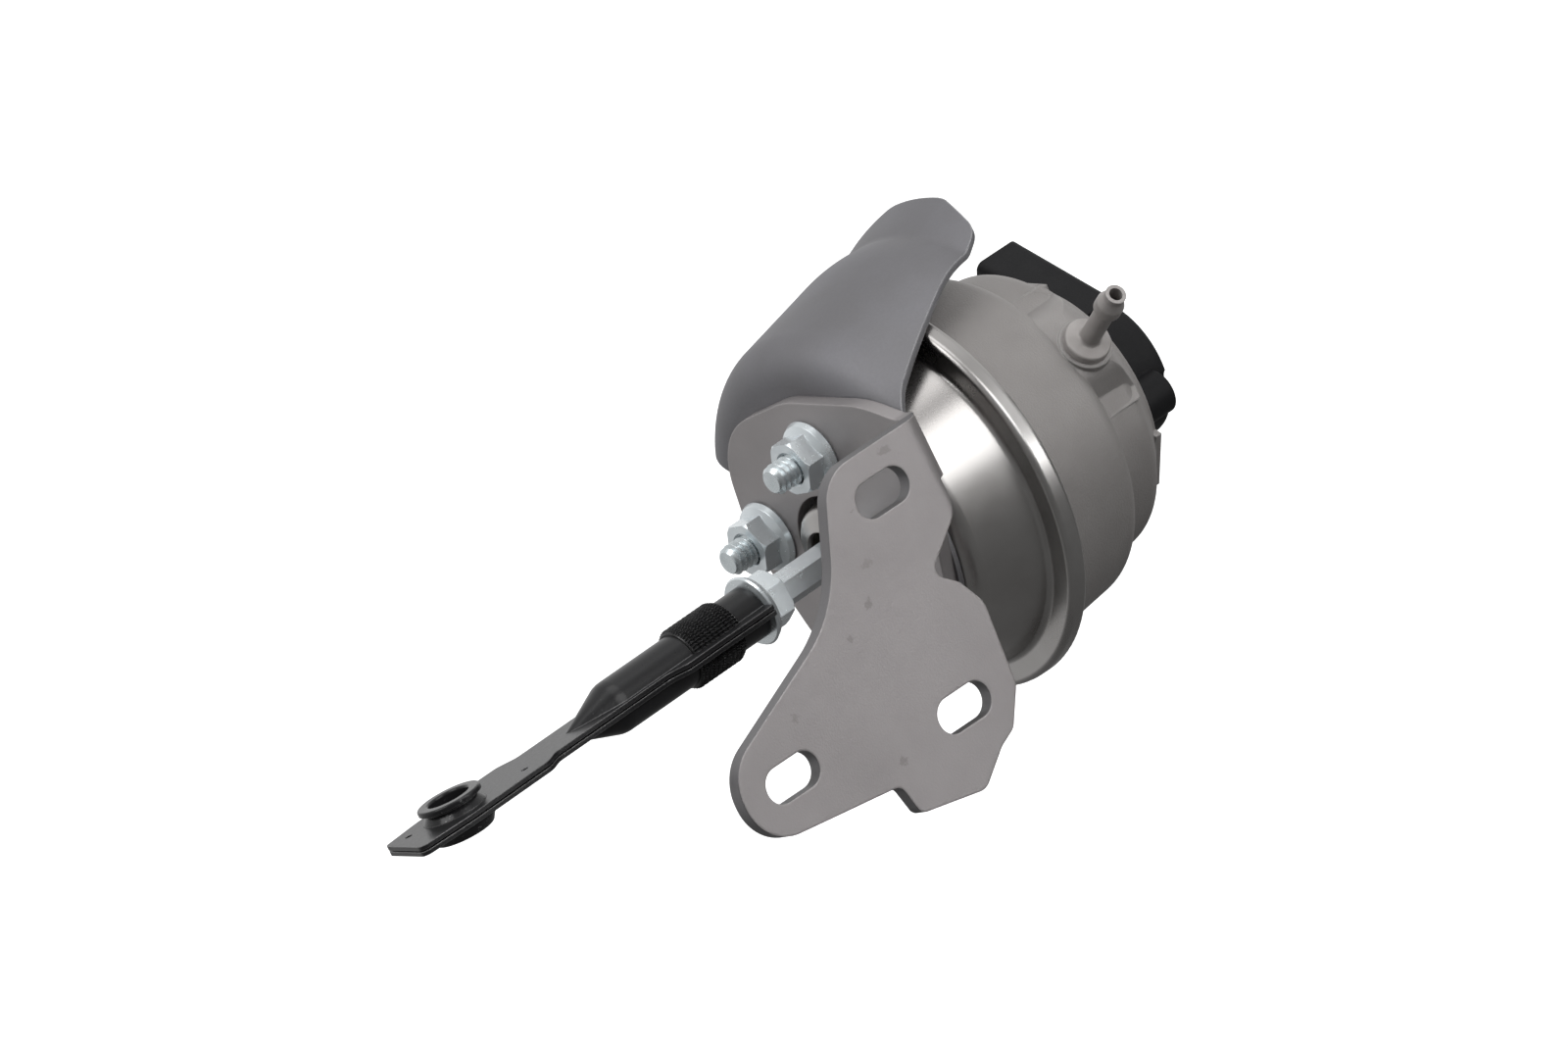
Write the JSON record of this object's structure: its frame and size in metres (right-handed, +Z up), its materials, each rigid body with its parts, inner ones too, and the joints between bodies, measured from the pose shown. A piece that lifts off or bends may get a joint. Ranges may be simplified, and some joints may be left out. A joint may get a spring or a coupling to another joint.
{
  "type": "wastegate actuator",
  "caption": "Vacuum actuator that pulls a turbocharger's wastegate rod, with a position sensor, heat shield, bent mounting bracket and adjustable link.",
  "frame": {"origin": "on the bracket's bolting face, in line with the upper slot along X and at the height of the canister's axis", "axes": "+X along the canister's axis from the link's eye to the sensor, -Y out of the bolting face towards the engine, +Z up to the heat shield"},
  "size_m": [0.1904, 0.0882, 0.0905],
  "materials": {
    "bright_steel": "bright pressed steel, satin",
    "cast_aluminium": "matte die-cast aluminium",
    "bracket_steel": "rolled steel sheet, dull satin",
    "shield_steel": "thin coated sheet, dull",
    "zinc_steel": "zinc plated, slightly blue",
    "spring_steel": "oiled spring wire",
    "insert_steel": "knurled steel, dull",
    "bush_steel": "riveted steel, rubbed",
    "black_link": "glossy black coating",
    "black_plastic": "moulded, glass-filled",
    "inner_plastic": "natural moulded plastic",
    "magnet": "bonded magnet",
    "terminal_metal": "plated terminals",
    "board": "green board",
    "rubber": "black rubber"
  },
  "bodies": {
    "canister": {"front_shell": "bright_steel", "rear_housing": "cast_aluminium", "hose_nipple": "bright_steel", "bracket": "bracket_steel", "heat_shield": "shield_steel", "stud_upper": "zinc_steel", "stud_lower": "zinc_steel", "flange_nut_upper": "zinc_steel", "flange_nut_lower": "zinc_steel", "diaphragm": "rubber", "coil_spring": "spring_steel", "spring_seat": "bright_steel", "sensor_body": "black_plastic", "connector_terminals": "terminal_metal", "circuit_board": "board", "sensor_cover": "black_plastic", "sensor_seal": "rubber", "sensor_screws": "zinc_steel"},
    "piston": {"piston_cup": "bright_steel", "clamp_plate": "bright_steel", "ball_socket": "inner_plastic", "magnet_carrier": "inner_plastic", "magnet": "magnet"},
    "rod": {"rod": "zinc_steel", "rod_lock_nut": "zinc_steel", "link_upper_half": "black_link", "link_lower_half": "black_link", "threaded_insert": "insert_steel", "eye_bush": "bush_steel"}
  },
  "joints": [
    {"name": "rod_stroke", "type": "slide", "parent": "canister", "child": "piston", "axis": [1, 0, 0], "range_m": [0, 0.011], "stiffness_N_per_m": 7500, "springref_m": -0.0056, "deforming": ["coil_spring", "diaphragm"]},
    {"name": "rod_sway", "type": "hinge", "parent": "piston", "child": "rod", "pos_m": [0.026, 0.041, 0], "axis": [0, 0, 1], "range_deg": [-2.5, 2.5]}
  ]
}
